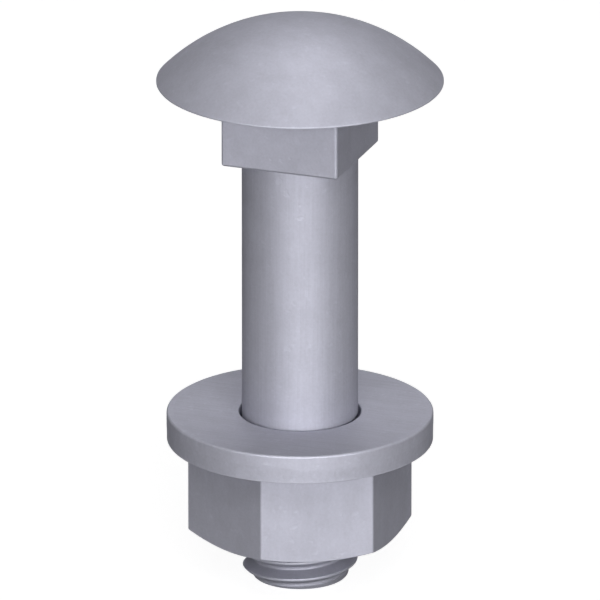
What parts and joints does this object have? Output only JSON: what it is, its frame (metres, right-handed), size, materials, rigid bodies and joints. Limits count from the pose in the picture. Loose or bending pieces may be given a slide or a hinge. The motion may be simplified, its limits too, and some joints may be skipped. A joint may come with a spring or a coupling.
{
  "type": "carriage bolt with washer and nut",
  "caption": "Cup-head square-neck bolt standing on its flat end, with a flat washer and a hexagon nut that turns along its thread.",
  "frame": {"origin": "centre of the bolt's flat threaded end, which the part stands on", "axes": "+Z along the bolt from the flat end to the cup head; +X and +Y square to the faces of the neck; two flats of the nut face +X and -X"},
  "size_m": [0.0246, 0.0246, 0.0504],
  "materials": {
    "plated_bolt_steel": "cold-forged carbon steel with satin zinc plating",
    "plated_washer_steel": "blanked steel strip with satin zinc plating",
    "plated_nut_steel": "forged and tapped steel with satin zinc plating"
  },
  "bodies": {
    "bolt": {"carriage_bolt": "plated_bolt_steel"},
    "washer": {"flat_washer": "plated_washer_steel"},
    "nut": {"hex_nut": "plated_nut_steel"}
  },
  "joints": [
    {"name": "nut_turn", "type": "hinge", "parent": "washer", "child": "nut", "pos_m": [0, 0, 0.0083], "axis": [0, 0, 1], "range_deg": [-984, 360]},
    {"name": "washer_slide", "type": "slide", "parent": "bolt", "child": "washer", "axis": [0, 0, 1], "range_m": [-0.0041, 0.0015]}
  ],
  "couplings": [
    {"joint": "nut_turn", "follows": "washer_slide", "rad_per_m": 4188.8}
  ]
}
